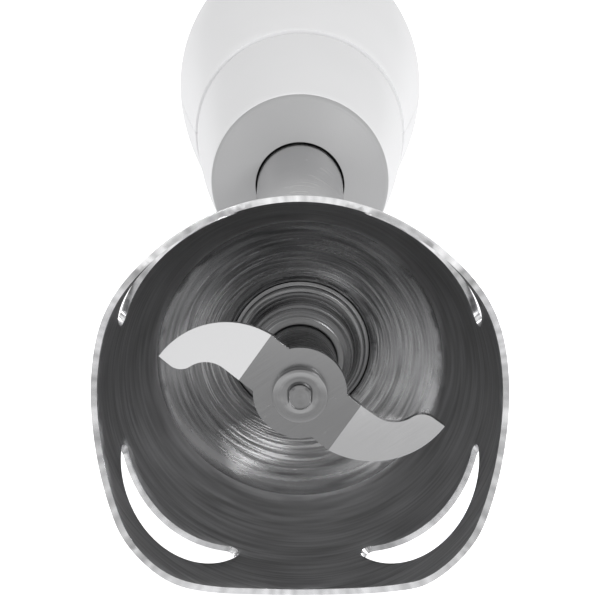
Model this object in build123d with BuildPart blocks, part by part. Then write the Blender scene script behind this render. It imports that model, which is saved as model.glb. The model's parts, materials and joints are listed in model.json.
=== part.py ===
from build123d import *
import math
import os

# Immersion blender lying on a worktop. Millimetres. The drive axis runs along +Y, from the bell guard
# at -Y to the mains end of the handle at +Y, and the button side faces +Z.
# A station is a distance along the drive axis, counted from the tips of the bell's feet.

os.makedirs("parts", exist_ok=True)

# Driving dimensions
LENGTH = 404.0
AXIS_HEIGHT = 33.5
SHELL_WALL = 2.2
SEAM = 0.15
FIT = 0.02
RUNNING = 0.04
CLEARANCE = 0.3
SHAFT_RADIUS = 3.0
MOTOR_SHAFT_RADIUS = 2.5
TUBE_RADIUS = 9.4
TUBE_BORE = 8.4

# Bell guard
BELL_RADIUS = 33.5
SHEET = 1.0
ARCH_RISE = 8.9
FOOT_FLARE = 1.4
FOOT_OFFSET = 24.7
SHOULDER = (24.06, 30.9)
NECK = (12.0, 37.9)
NECK_FLOOR = 41.5
COLLAR_END = 47.5
SLOT_NEAR_RADIUS = 14.6
SLOT_NEAR_STATION = 6.8
SLOT_FAR_RADIUS = 28.0
SLOT_FAR_STATION = 14.55
SLOT_CORNER_RADIUS = 1.25

# Blade
BLADE_STATION = 12.5
BLADE_THICKNESS = 1.3
BLADE_DISC_RADIUS = 7.6
FOLD_DISTANCE = 9.33
FOLD_HIGH = 5.35
FOLD_LOW = 3.85
BLADE_AZIMUTH = 145.2
TRAILING_BEND = 17.3
LEADING_BEND = -4.0
COLLAR_RADIUS = 4.47
COLLAR_STATION = 10.7
SPIGOT_RADIUS = 3.5
HUB_RADIUS = 6.2
SHAFT_TIP = 9.5
TIP_RADIUS = 2.0
TIP_HALF_FLAT = 1.75

# Foot
BOSS_STATION = 30.8
BOSS_END = 52.0
TUBE_START = 39.0
TUBE_END = 200.0
NOSE_BORE = 9.8
NOSE_RADIUS = 19.6
NOSE_STATION = 164.2
SLEEVE_START = 168.8
SLEEVE_END = 220.6
CUP_BORE = 17.95

# Handle
HANDLE_START = 222.1
SHELL_END = 372.0
CAP_END = 397.0
SKIN = ((25.3, HANDLE_START), (29.95, 258.9), (32.2, 298.9), (30.3, 338.9), (28.4, SHELL_END))
SCREW_STATIONS = (233.0, 357.0)
SCREW_OFFSET = 18.5
SCREW_RADIUS = 1.5
SCREW_BOSS = 4.2
PAD_STATION = 300.0
PAD_SIZE = (20.0, 76.0)

# Motor
STATOR_START = 272.0
STATOR_END = 304.0
STATOR_RADIUS = 23.0
YOKE_BORE = 18.5
POLE_BORE = 12.0
ARMATURE_RADIUS = 11.5
SLOT_COUNT = 12
BEARING_RADIUS = 7.98
BEARING_WIDTH = 5.0
LOWER_BEARING = 254.0
UPPER_BEARING = 324.8
BRUSH_STATION = 314.5
BOLT_CIRCLE = 20.75
FOLD_START = 15.7
FOLD_PITCH = 1.2
FOLD_COUNT = 5
FOLD_STRIP = 0.4
FOLD_LENGTH = 4.8
FOLD_HEIGHT = 3.2

# Controls
POWER_STATION = 336.5
POWER_SIZE = (15.0, 17.0)
TURBO_STATION = 354.0
TURBO_SIZE = (15.0, 14.0)
BEZEL_STATION = 344.6
BEZEL_SIZE = (19.5, 37.6)
BEZEL_FLOOR = 20.4
BOARD_HEIGHT = 11.0
BOARD_THICKNESS = 1.6
RELEASE_STATION = 236.5
RELEASE_SIZE = (14.0, 17.0)
DIAL_HEIGHT = 7.0
DIAL_RADIUS = 10.5
GLAND_HEIGHT = -11.0
CORD_RADIUS = 3.6

FIRST_STATION = -LENGTH / 2
DRIVE_AXIS = Axis((0, 0, AXIS_HEIGHT), (0, 1, 0))
BEYOND = 60.0
# Half-sections are drawn as (radius, station) on the level plane through the drive axis.
HALF_SECTION = Plane(origin=(0, FIRST_STATION, AXIS_HEIGHT), x_dir=(1, 0, 0), z_dir=(0, 0, 1))


def across(station):
    """The plane square to the drive axis at a station. Its second coordinate is the height."""
    return Plane(origin=(0, FIRST_STATION + station, AXIS_HEIGHT), x_dir=(-1, 0, 0), z_dir=(0, 1, 0))


def level(height):
    """The level plane at a height above the drive axis, drawn as (sideways, station)."""
    return HALF_SECTION.offset(height)


def facing(angle):
    """The plane through the drive axis whose normal points outwards at an angle from +X."""
    turn = math.radians(angle)
    outwards = (math.cos(turn), 0, math.sin(turn))
    sideways = (math.sin(turn), 0, -math.cos(turn))
    return Plane(origin=(0, FIRST_STATION, AXIS_HEIGHT), x_dir=sideways, z_dir=outwards)


def ring(station, outer, inner=0.0, height=0.0):
    """A round or ring-shaped face square to the drive axis."""
    with BuildSketch(across(station)) as face:
        with Locations((0, height)):
            Circle(outer)
            if inner:
                Circle(inner, mode=Mode.SUBTRACT)
    return face.sketch


def outline(*corners):
    """A half-section with straight sides, to be turned about the drive axis."""
    with BuildSketch(HALF_SECTION) as face:
        with BuildLine():
            Polyline(*corners, close=True)
        make_face()
    return face.sketch


def wall(outer_inset, inner_inset=None):
    """Half-section of the handle between two insets from its skin, or from the skin to the axis."""
    with BuildSketch(HALF_SECTION) as face:
        with BuildLine():
            outer = Spline([(radius - outer_inset, station) for radius, station in SKIN])
            if inner_inset is None:
                inner = Line((0, HANDLE_START), (0, SHELL_END))
            else:
                inner = Spline([(radius - inner_inset, station) for radius, station in SKIN])
            Line(outer @ 0, inner @ 0)
            Line(outer @ 1, inner @ 1)
        make_face()
    return face.sketch


def block(station, size, centre=(0.0, 0.0)):
    """A rectangle square to the drive axis; size and centre are (sideways, up)."""
    with BuildSketch(across(station)) as face:
        with Locations((-centre[0], centre[1])):
            Rectangle(*size)
    return face.sketch


def plan(height, station, size, corner=0.0):
    """A level rectangle; size is (sideways, along the axis)."""
    with BuildSketch(level(height)) as face:
        with Locations((0, station)):
            if corner:
                RectangleRounded(*size, corner)
            else:
                Rectangle(*size)
    return face.sketch


def sector(station, outer, inner, middle, half_angle):
    """Part of a ring, centred on an angle."""
    with BuildSketch(across(station)) as face:
        with BuildLine():
            far = CenterArc((0, 0), outer, middle - half_angle, 2 * half_angle)
            near = CenterArc((0, 0), inner, middle - half_angle, 2 * half_angle)
            Line(far @ 0, near @ 0)
            Line(far @ 1, near @ 1)
        make_face()
    return face.sketch


def double_flat(station, radius, half_flat):
    """A round face with a flat on each side."""
    with BuildSketch(across(station)) as face:
        Circle(radius)
        Rectangle(2 * half_flat, 3 * radius, mode=Mode.INTERSECT)
    return face.sketch


def hexagon(station, across_flats):
    """A hexagonal face square to the drive axis."""
    with BuildSketch(across(station)) as face:
        RegularPolygon(across_flats / 2, 6, major_radius=False)
    return face.sketch


def spring_path(foot, direction, radius, length, turns=4.5):
    """The helix that a coil spring's wire follows, from its foot."""
    with BuildLine() as path:
        Helix(length / turns, length, radius, center=foot, direction=direction)
    return path.line


def wire_section(path, wire):
    """The round section of a wire at the start of its path."""
    with BuildSketch(Plane(origin=path @ 0, z_dir=path % 0)) as section:
        Circle(wire / 2)
    return section.sketch


# ---------------------------------------------------------------- bell guard

with BuildPart() as bell_guard:
    with BuildSketch(HALF_SECTION):
        with BuildLine():
            mouth = BELL_RADIUS - SHEET
            inner_wall = Spline((mouth + FOOT_FLARE, 0), (mouth, ARCH_RISE), (29.5, 20), SHOULDER)
            ceiling = Spline(SHOULDER, (18.2, 35.0), NECK)
            Polyline(NECK, (NECK[0], NECK_FLOOR), (TUBE_RADIUS + FIT, 43), (TUBE_RADIUS + FIT, COLLAR_END))
            Line((TUBE_RADIUS + FIT, COLLAR_END), (TUBE_RADIUS + 0.8, COLLAR_END))
            collar_edge = (TUBE_RADIUS + 0.8, COLLAR_END)
            dome = Spline(collar_edge, (11.4, 43.8), (13.9, 40.5), (18.9, 36.3), (24.8, 31.7))
            skirt = Spline(dome @ 1, (30.6, 20), (BELL_RADIUS, ARCH_RISE), (BELL_RADIUS + FOOT_FLARE, 0))
            Line(skirt @ 1, inner_wall @ 0)
        make_face()
    revolve(axis=DRIVE_AXIS)
    # An arch in each side of the rim leaves a foot at each corner.
    for angle in (0, 90):
        with BuildSketch(facing(angle)):
            with BuildLine():
                half_crest = ((5.8, 8.25), (17.1, 2.6), (FOOT_OFFSET, 0))
                mirrored = [(-x, y) for x, y in reversed(half_crest)]
                crest = Spline(*mirrored, (0, ARCH_RISE), *half_crest, tangents=((1, 0), (1, 0)))
                Polyline(crest @ 0, (-FOOT_OFFSET, -5), (FOOT_OFFSET, -5), crest @ 1)
            make_face()
        extrude(amount=BEYOND, both=True, mode=Mode.SUBTRACT)
    # A crescent slot through the wall above each foot.
    for angle in (45, 135, 225, 315):
        with BuildSketch(facing(angle).offset(20)):
            with Locations((0, SLOT_NEAR_STATION + SLOT_NEAR_RADIUS)):
                Circle(SLOT_NEAR_RADIUS)
            with Locations((0, SLOT_FAR_STATION + SLOT_FAR_RADIUS)):
                Circle(SLOT_FAR_RADIUS, mode=Mode.SUBTRACT)
            fillet(vertices(), SLOT_CORNER_RADIUS)
        extrude(amount=20, mode=Mode.SUBTRACT)

# ---------------------------------------------------------------- foot

with BuildPart() as bearing_boss:
    revolve(
        outline(
            (6.74, BOSS_STATION), (7.4, 31.0), (8.75, 32.4), (8.75, 32.7), (8.45, 32.85), (8.45, 33.15),
            (8.95, 33.3), (9.45, 35.7), (9.75, 36.0), (10.2, 36.3), (10.25, 36.7), (9.95, 37.0),
            (10.0, 37.25), (10.9, 37.4), (11.2, 37.7), (11.2, TUBE_START), (TUBE_BORE - FIT, TUBE_START),
            (TUBE_BORE - FIT, BOSS_END), (5.0, BOSS_END), (5.0, 36.5), (6.6, 36.5), (6.6, 31.0),
        ),
        axis=DRIVE_AXIS,
    )

with BuildPart() as boss_gasket:
    extrude(ring(39.4, NECK[0] - FIT, TUBE_RADIUS + FIT), amount=2.0)

with BuildPart() as lower_bush:
    extrude(ring(36.6, 5.0 - FIT, SHAFT_RADIUS + RUNNING), amount=15.0)

with BuildPart() as shaft_seal:
    revolve(
        outline(
            (SHAFT_RADIUS + RUNNING, 34.3), (3.6, 34.0), (6.6 - FIT, 34.0), (6.6 - FIT, 36.4),
            (5.2, 36.4), (5.2, 35.0), (3.6, 35.0), (SHAFT_RADIUS + RUNNING, 34.7),
        ),
        axis=DRIVE_AXIS,
    )

with BuildPart() as shaft_tube:
    extrude(ring(TUBE_START, TUBE_RADIUS, TUBE_BORE), amount=TUBE_END - TUBE_START)

with BuildPart() as upper_bush:
    extrude(ring(186.0, TUBE_BORE - FIT, SHAFT_RADIUS + RUNNING), amount=11.0)

with BuildPart() as nose_plate:
    with BuildSketch(HALF_SECTION):
        with BuildLine():
            cone = Spline((NOSE_BORE, NOSE_STATION), (14.4, 165.55), (18.5, 167.1))
            rounding = RadiusArc(cone @ 1, (NOSE_RADIUS, 168.3), -1.3)
            Polyline(
                rounding @ 1, (NOSE_RADIUS, 168.6), (17.5, 168.6), (17.5, 173.0), (16.0, 173.0),
                (16.0, 168.6), (12.4, 168.6), (12.4, 166.6), (NOSE_BORE, 166.2), cone @ 0,
            )
        make_face()
    revolve(axis=DRIVE_AXIS)

with BuildPart() as tube_gasket:
    extrude(ring(166.7, 12.3, TUBE_RADIUS + FIT), amount=1.8)

with BuildPart() as nose_sleeve:
    with BuildSketch(HALF_SECTION):
        with BuildLine():
            sleeve_skin = Spline((19.8, SLEEVE_START + 0.3), (22.95, 194.9), (24.75, SLEEVE_END - 0.3))
            Line((19.5, SLEEVE_START), sleeve_skin @ 0)
            Line(sleeve_skin @ 1, (24.45, SLEEVE_END))
            Line((24.45, SLEEVE_END), (23.2, SLEEVE_END))
            sleeve_bore = Spline((23.2, SLEEVE_END), (21.0, 194.9), (17.8, SLEEVE_START))
            Line(sleeve_bore @ 1, (19.5, SLEEVE_START))
        make_face()
    revolve(axis=DRIVE_AXIS)

with BuildPart() as coupling_core:
    revolve(
        outline(
            (TUBE_RADIUS + FIT, 168.8), (12.8, 168.8), (12.8, 176.0), (18.5, 176.0), (18.5, 179.0),
            (12.8, 179.0), (12.8, 197.0), (20.8, 197.0), (20.8, 221.2), (CUP_BORE, 221.2),
            (CUP_BORE, 202.0), (TUBE_RADIUS + FIT, 202.0),
        ),
        axis=DRIVE_AXIS,
    )
    # The window that the latch nose snaps into.
    extrude(plan(-25, 209.5, (6.4, 4.0)), amount=10, mode=Mode.SUBTRACT)

# ---------------------------------------------------------------- blade and its shaft


def blade_arm(fold_side):
    """The flat of one hooked arm, drawn from the disc's centre as (outwards, along the fold)."""
    with BuildLine() as edge:
        root = Line((fold_side, -FOLD_LOW), (12.4, -FOLD_LOW))
        hollow = ThreePointArc(root @ 1, (15.3, -4.75), (17.05, -6.9))
        heel = ThreePointArc(hollow @ 1, (18.0, -8.3), (19.8, -9.0))
        cut = Line(heel @ 1, (22.3, -8.95))
        back = ThreePointArc(cut @ 1, (17.4, 1.75), (FOLD_DISTANCE, FOLD_HIGH))
        Polyline(back @ 1, (fold_side, FOLD_HIGH), root @ 0)
    return edge.line


def arm_plane(azimuth, bend):
    """The front face of an arm: it turns about the fold line, away from the bell's mouth if positive."""
    turn = math.radians(azimuth)
    tilt = math.radians(bend)
    outwards = Vector(math.cos(turn), 0, math.sin(turn))
    front = Vector(0, 1, 0)
    fold = Vector(0, FIRST_STATION + BLADE_STATION, AXIS_HEIGHT) + outwards * FOLD_DISTANCE
    along_arm = outwards * math.cos(tilt) + front * math.sin(tilt)
    normal = front * math.cos(tilt) - outwards * math.sin(tilt)
    return Plane(origin=fold - along_arm * FOLD_DISTANCE, x_dir=along_arm, z_dir=normal)


with BuildPart() as blade:
    with BuildSketch(arm_plane(BLADE_AZIMUTH, 0)):
        with BuildLine():
            Polyline(
                (FOLD_DISTANCE, FOLD_HIGH), (FOLD_DISTANCE, -FOLD_LOW),
                (-FOLD_DISTANCE, -FOLD_HIGH), (-FOLD_DISTANCE, FOLD_LOW), close=True,
            )
        make_face()
        Circle(BLADE_DISC_RADIUS)
    extrude(amount=BLADE_THICKNESS)
    for azimuth, bend, root_side in (
        (BLADE_AZIMUTH, TRAILING_BEND, FOLD_DISTANCE),
        (BLADE_AZIMUTH + 180, LEADING_BEND, FOLD_DISTANCE - 0.5),
    ):
        with BuildSketch(arm_plane(azimuth, bend)):
            add(blade_arm(root_side))
            make_face()
        extrude(amount=BLADE_THICKNESS)
    extrude(ring(BLADE_STATION - 2, SPIGOT_RADIUS + FIT), amount=6, mode=Mode.SUBTRACT)

with BuildPart() as blade_collar:
    extrude(ring(COLLAR_STATION, COLLAR_RADIUS), amount=BLADE_STATION - COLLAR_STATION)
    extrude(ring(BLADE_STATION, SPIGOT_RADIUS), amount=BLADE_THICKNESS)
    tip_hole = double_flat(COLLAR_STATION - 1, TIP_RADIUS + FIT, TIP_HALF_FLAT + FIT)
    extrude(tip_hole, amount=5, mode=Mode.SUBTRACT)

with BuildPart() as blade_hub:
    extrude(ring(BLADE_STATION + BLADE_THICKNESS, HUB_RADIUS, SHAFT_RADIUS + FIT), amount=19.2)
    chamfer(edges().filter_by(GeomType.CIRCLE).group_by(SortBy.RADIUS)[-1], 0.3)

with BuildPart() as thrust_washer:
    extrude(ring(33.1, 6.0, SHAFT_RADIUS + FIT), amount=0.6)

with BuildPart() as drive_shaft:
    shoulder = BLADE_STATION + BLADE_THICKNESS
    extrude(ring(SHAFT_TIP, TIP_RADIUS), amount=shoulder - SHAFT_TIP)
    chamfer(faces().sort_by(Axis.Y)[0].edges(), 0.35)
    extrude(block(SHAFT_TIP, (2 * TIP_HALF_FLAT, BEYOND)), amount=BEYOND, mode=Mode.INTERSECT)
    extrude(ring(shoulder, SHAFT_RADIUS), amount=205 - shoulder)
    extrude(double_flat(205, SHAFT_RADIUS, 2.5), amount=14)

with BuildPart() as shaft_clip:
    extrude(ring(197.3, 5.0, SHAFT_RADIUS + FIT), amount=0.8)

with BuildPart() as driven_coupling:
    extrude(ring(207, 6.5), amount=5)
    extrude(hexagon(212, 8.0), amount=11)
    extrude(double_flat(206, SHAFT_RADIUS + FIT, 2.5 + FIT), amount=13.2, mode=Mode.SUBTRACT)

# ---------------------------------------------------------------- handle shells and their trim

with BuildPart() as foot_socket:
    extrude(ring(203.5, 17.5, 13.0), amount=18.9)
    extrude(ring(222.4, 22.9, 13.0), amount=3.6)
    # The latch arm's way through, and the ledge that its spring stands on.
    extrude(block(203, (8.0, 8.0), (0, -14.8)), amount=24, mode=Mode.SUBTRACT)
    for side in (-1, 1):
        extrude(block(225, (2.0, 2.0), (side * 6.0, -13.4)), amount=18.5)
    extrude(block(238.2, (12.0, 2.0), (0, -13.4)), amount=5.3)


def release_pocket():
    """The outline of the release button's opening, on the underside."""
    length = RELEASE_SIZE[1] + 2 * CLEARANCE
    return plan(-BEYOND, RELEASE_STATION, (RELEASE_SIZE[0] + 2 * CLEARANCE, length), 5.3)


def rib_rings():
    """Half-sections of the two ribs that hold the motor's rubber rings."""
    for middle in (275.0, 301.0):
        near = middle - 1.5
        far = middle + 1.5
        yield outline((26.15, near), (30.0, near), (30.0, far), (26.15, far))


SCREW_PLACES = [(side * SCREW_OFFSET, station) for station in SCREW_STATIONS for side in (-1, 1)]


def screw_discs(height, radius):
    """Four round faces on a level plane, one at each housing screw."""
    with BuildSketch(level(height)) as faces_there:
        with Locations(*SCREW_PLACES):
            Circle(radius)
    return faces_there.sketch


with BuildPart() as front_shell:
    extrude(screw_discs(0, SCREW_BOSS), amount=BEYOND / 2)
    revolve(wall(SHELL_WALL / 2), axis=DRIVE_AXIS, mode=Mode.INTERSECT)
    revolve(wall(0, SHELL_WALL), axis=DRIVE_AXIS)
    for rib in rib_rings():
        revolve(rib, axis=DRIVE_AXIS)
    extrude(screw_discs(0, SCREW_RADIUS + FIT), amount=7.0, mode=Mode.SUBTRACT)
    for side in (-1, 1):
        extrude(block(335, (14.5, 1.7), (side * 20, 10.1)), amount=16)
    split(bisect_by=level(SEAM / 2), keep=Keep.TOP)
    extrude(plan(0, BEZEL_STATION, BEZEL_SIZE, 9.0), amount=BEYOND, mode=Mode.SUBTRACT)

with BuildPart() as rear_shell:
    extrude(screw_discs(0, SCREW_BOSS), amount=-BEYOND / 2)
    revolve(wall(SHELL_WALL / 2), axis=DRIVE_AXIS, mode=Mode.INTERSECT)
    revolve(wall(0, SHELL_WALL), axis=DRIVE_AXIS)
    for rib in rib_rings():
        revolve(rib, axis=DRIVE_AXIS)
    # The shallow recess for the rest pad leaves the inner half of the wall whole.
    extrude(plan(-BEYOND, PAD_STATION, PAD_SIZE, 8.0), amount=BEYOND - 20, mode=Mode.SUBTRACT)
    revolve(wall(SHELL_WALL / 2, SHELL_WALL), axis=DRIVE_AXIS)
    extrude(screw_discs(0, SCREW_RADIUS + CLEARANCE), amount=-BEYOND, mode=Mode.SUBTRACT)
    extrude(screw_discs(-12, 3.1), amount=-BEYOND, mode=Mode.SUBTRACT)
    split(bisect_by=level(-SEAM / 2), keep=Keep.BOTTOM)
    extrude(release_pocket(), amount=BEYOND, mode=Mode.SUBTRACT)

with BuildPart() as joint_seal:
    extrude(ring(HANDLE_START - 1.1, 24.2, 23.0), amount=1.05)

with BuildPart() as rest_pad:
    extrude(plan(-AXIS_HEIGHT, PAD_STATION, PAD_SIZE, 8.0), amount=AXIS_HEIGHT / 2)
    revolve(wall(SHELL_WALL / 2), axis=DRIVE_AXIS, mode=Mode.SUBTRACT)
    chamfer(faces().sort_by(Axis.Z)[0].edges(), 0.5)

with BuildPart() as housing_screws:
    extrude(screw_discs(-14, 2.8), amount=2.0)
    extrude(screw_discs(-12, SCREW_RADIUS), amount=18)
    with BuildSketch(level(-14)):
        with Locations(*SCREW_PLACES):
            RegularPolygon(1.2, 6)
    extrude(amount=1.2, mode=Mode.SUBTRACT)

with BuildPart() as top_cap:
    with BuildSketch(HALF_SECTION):
        with BuildLine():
            shoulder_arc = Spline((28.35, SHELL_END + 0.4), (26.9, 383.5), (22.6, 393.0), (18.0, 396.7))
            Polyline(shoulder_arc @ 1, (16.5, CAP_END), (0, CAP_END), (0, 394.6), (17.5, 394.6))
            inner_arc = Spline((17.5, 394.6), (22.5, 388.0), (24.4, 378.0))
            Polyline(inner_arc @ 1, (24.4, 366.5), (26.0, 366.5), (26.0, SHELL_END + 0.4), shoulder_arc @ 0)
        make_face()
    revolve(axis=DRIVE_AXIS)
    extrude(ring(390, SHAFT_RADIUS + CLEARANCE, height=DIAL_HEIGHT), amount=10, mode=Mode.SUBTRACT)
    extrude(ring(390, 5.0, height=GLAND_HEIGHT), amount=10, mode=Mode.SUBTRACT)
    # Posts inside the cap: the upper pair carries the dial's board, the lower pair the cord clamp.
    for side, height, length in (
        (-11, DIAL_HEIGHT, 15.4), (11, DIAL_HEIGHT, 15.4), (-12, -9, 12.4), (12, -9, 12.4),
    ):
        with BuildSketch(across(395 - length)):
            with Locations((side, height)):
                Circle(1.8)
        extrude(amount=length)

with BuildPart() as cord_gland:
    extrude(ring(388, 5.0 - FIT, height=GLAND_HEIGHT), amount=9)
    extrude(ring(CAP_END, 6.6, height=GLAND_HEIGHT), amount=1.5)
    with BuildSketch(across(CAP_END + 1.5)):
        with Locations((0, GLAND_HEIGHT)):
            Circle(5.8)
    extrude(amount=4.5, taper=6)
    extrude(ring(380, CORD_RADIUS, height=GLAND_HEIGHT), amount=30, mode=Mode.SUBTRACT)

with BuildPart() as gland_nut:
    with BuildSketch(across(391.6)):
        with Locations((0, GLAND_HEIGHT)):
            RegularPolygon(6.2, 6, major_radius=False)
            Circle(5.0, mode=Mode.SUBTRACT)
    extrude(amount=2.8)

with BuildPart() as cord_clamp:
    extrude(block(377, (28.0, 10.0), (0, -11.5)), amount=5.4)
    extrude(ring(370, 3.4, height=GLAND_HEIGHT), amount=20, mode=Mode.SUBTRACT)

# ---------------------------------------------------------------- motor


def bearing(station, bore):
    """A shielded ball bearing as one turned ring with its race grooves."""
    end = station + BEARING_WIDTH
    return outline(
        (bore, station), (4.0, station), (4.0, station + 0.5), (6.4, station + 0.5), (6.4, station),
        (BEARING_RADIUS, station), (BEARING_RADIUS, end), (6.4, end), (6.4, end - 0.5), (4.0, end - 0.5),
        (4.0, end), (bore, end),
    )


with BuildPart() as lower_bearing:
    revolve(bearing(LOWER_BEARING, MOTOR_SHAFT_RADIUS + RUNNING), axis=DRIVE_AXIS)

with BuildPart() as upper_bearing:
    revolve(bearing(UPPER_BEARING, MOTOR_SHAFT_RADIUS + RUNNING), axis=DRIVE_AXIS)

with BuildPart() as front_bridge:
    extrude(ring(253, 10.0), amount=11.5)
    extrude(ring(262, STATOR_RADIUS), amount=2.5)
    extrude(ring(262, STATOR_RADIUS, YOKE_BORE + 0.2), amount=STATOR_START - 262)
    extrude(ring(250, BEARING_RADIUS + FIT), amount=LOWER_BEARING + BEARING_WIDTH - 250, mode=Mode.SUBTRACT)
    extrude(ring(250, 4.0), amount=20, mode=Mode.SUBTRACT)
    with BuildSketch(across(261)):
        with PolarLocations(14.2, 6):
            Circle(3.2)
        with PolarLocations(BOLT_CIRCLE, 2, start_angle=45):
            Circle(1.3)
    extrude(amount=4, mode=Mode.SUBTRACT)
    with BuildSketch(across(263)):
        with PolarLocations(BOLT_CIRCLE, 2, start_angle=45):
            Circle(1.3)
    extrude(amount=10, mode=Mode.SUBTRACT)

with BuildPart() as rear_bridge:
    extrude(ring(STATOR_END, STATOR_RADIUS, YOKE_BORE + 0.2), amount=20)
    extrude(ring(321.5, STATOR_RADIUS), amount=2.5)
    extrude(ring(321.5, 10.0), amount=8.5)
    extrude(ring(UPPER_BEARING, BEARING_RADIUS + FIT), amount=10, mode=Mode.SUBTRACT)
    extrude(ring(320, 4.0), amount=20, mode=Mode.SUBTRACT)
    extrude(block(BRUSH_STATION - 4.1, (60.0, 7.2)), amount=8.2, mode=Mode.SUBTRACT)
    with BuildSketch(across(320)):
        with PolarLocations(14.2, 6, start_angle=30):
            Circle(3.2)
    extrude(amount=6, mode=Mode.SUBTRACT)
    with BuildSketch(across(STATOR_END)):
        with PolarLocations(BOLT_CIRCLE, 2, start_angle=45):
            Circle(1.3)
    extrude(amount=22, mode=Mode.SUBTRACT)

with BuildPart() as stator_core:
    with BuildSketch(across(STATOR_START)):
        Circle(STATOR_RADIUS)
        Circle(YOKE_BORE, mode=Mode.SUBTRACT)
        with Locations((0, 16.2), (0, -16.2)):
            Rectangle(14.0, 6.4)
        with PolarLocations(BOLT_CIRCLE, 2, start_angle=45):
            Circle(1.3, mode=Mode.SUBTRACT)
    extrude(amount=STATOR_END - STATOR_START)
    for middle in (90, 270):
        extrude(sector(STATOR_START, 14.6, POLE_BORE, middle, 52), amount=STATOR_END - STATOR_START)
    extrude(ring(STATOR_START, POLE_BORE), amount=STATOR_END - STATOR_START, mode=Mode.SUBTRACT)

with BuildPart() as field_coils:
    for middle, height in ((90, 16.2), (270, -16.2)):
        extrude(sector(266.5, 18.2, 14.85, middle, 46), amount=43)
        extrude(block(STATOR_START - 0.3, (14.6, 8.0), (0, height)), amount=32.6, mode=Mode.SUBTRACT)

with BuildPart() as motor_bolts:
    with BuildSketch(across(260.4)):
        with PolarLocations(BOLT_CIRCLE, 2, start_angle=45):
            Circle(2.2)
    extrude(amount=1.6)
    with BuildSketch(across(262)):
        with PolarLocations(BOLT_CIRCLE, 2, start_angle=45):
            Circle(1.2)
    extrude(amount=63.6)

with BuildPart() as motor_ring_front:
    extrude(ring(272.6, 26.15 - FIT, STATOR_RADIUS + FIT), amount=4.8)

with BuildPart() as motor_ring_rear:
    extrude(ring(298.6, 26.15 - FIT, STATOR_RADIUS + FIT), amount=4.8)

with BuildPart() as brush_holders:
    for side in (-1, 1):
        extrude(block(BRUSH_STATION - 4, (13.0, 7.0), (side * 15.5, 0)), amount=8)
        extrude(block(BRUSH_STATION - 3, (13.0, 5.0), (side * 14.5, 0)), amount=6, mode=Mode.SUBTRACT)

with BuildPart() as carbon_brushes:
    for side in (-1, 1):
        extrude(block(BRUSH_STATION - 2.9, (7.5, 4.8), (side * 11.45, 0)), amount=5.8)

with BuildPart() as brush_springs:
    # Each brush is pressed by a strip folded to and fro behind it.
    for side in (-1, 1):
        with BuildSketch(level(-FOLD_HEIGHT / 2)):
            for leg in range(FOLD_COUNT):
                with Locations((side * (FOLD_START + FOLD_PITCH * leg), BRUSH_STATION)):
                    Rectangle(FOLD_STRIP, FOLD_LENGTH)
            for link in range(FOLD_COUNT - 1):
                end = (FOLD_LENGTH - FOLD_STRIP) / 2 * (-1) ** link
                with Locations((side * (FOLD_START + FOLD_PITCH * (link + 0.5)), BRUSH_STATION + end)):
                    Rectangle(FOLD_PITCH, FOLD_STRIP)
        extrude(amount=FOLD_HEIGHT)

with BuildPart() as motor_shaft:
    extrude(ring(225, MOTOR_SHAFT_RADIUS), amount=106)
    chamfer(edges().filter_by(GeomType.CIRCLE), 0.4)

with BuildPart() as armature_core:
    with BuildSketch(across(STATOR_START)):
        Circle(ARMATURE_RADIUS)
        with PolarLocations(9.7, SLOT_COUNT):
            Rectangle(4.4, 1.8, mode=Mode.SUBTRACT)
        Circle(MOTOR_SHAFT_RADIUS + FIT, mode=Mode.SUBTRACT)
    extrude(amount=STATOR_END - STATOR_START)

with BuildPart() as armature_winding:
    extrude(ring(267.2, 10.6, 4.2), amount=4.7)
    fillet(edges().filter_by(GeomType.CIRCLE).group_by(SortBy.RADIUS)[-1], 1.5)
    extrude(ring(304.1, 10.6, 4.2), amount=4.7)
    with BuildSketch(across(271.8)):
        with PolarLocations(9.1, SLOT_COUNT):
            Rectangle(2.8, 1.5)
    extrude(amount=32.4)

with BuildPart() as commutator:
    extrude(ring(310, 7.5, MOTOR_SHAFT_RADIUS + FIT), amount=9.5)
    with BuildSketch(across(309)):
        with PolarLocations(7.4, SLOT_COUNT):
            Rectangle(1.6, 0.4)
    extrude(amount=9.5, mode=Mode.SUBTRACT)

with BuildPart() as cooling_fan:
    extrude(ring(245, 6.0), amount=7)
    extrude(ring(250.8, 19.5), amount=1.2)
    with BuildSketch(across(245)):
        with PolarLocations(12.6, 9):
            Rectangle(13.6, 1.2, rotation=14)
    extrude(amount=6)
    extrude(ring(240, MOTOR_SHAFT_RADIUS + FIT), amount=20, mode=Mode.SUBTRACT)

with BuildPart() as drive_coupling:
    extrude(ring(213.2, 8.5), amount=22.8)
    chamfer(faces().sort_by(Axis.Y)[0].edges(), 0.8)
    extrude(hexagon(213, 8.6), amount=11.5, mode=Mode.SUBTRACT)
    extrude(ring(224.6, MOTOR_SHAFT_RADIUS + FIT), amount=20, mode=Mode.SUBTRACT)

# ---------------------------------------------------------------- electrics

with BuildPart() as circuit_board:
    extrude(plan(BOARD_HEIGHT, 349.5, (27.0, 37.0), 2.0), amount=BOARD_THICKNESS)

with BuildPart() as capacitor:
    extrude(plan(BOARD_HEIGHT - 14, 342, (16.0, 17.0), 1.5), amount=14)

with BuildPart() as terminal_block:
    extrude(plan(BOARD_HEIGHT - 9, 362, (18.0, 8.0)), amount=9)
    for side in (-5, 5):
        with BuildSketch(across(350)):
            with Locations((side, BOARD_HEIGHT - 5)):
                Circle(1.8)
        extrude(amount=20, mode=Mode.SUBTRACT)

with BuildPart() as switches:
    for station in (POWER_STATION, TURBO_STATION):
        extrude(plan(BOARD_HEIGHT + BOARD_THICKNESS, station, (6.4, 12.8), 0.8), amount=6)
        with BuildSketch(level(BOARD_HEIGHT + BOARD_THICKNESS + 6)):
            with Locations((0, station)):
                Circle(1.2)
        extrude(amount=0.6)

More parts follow.
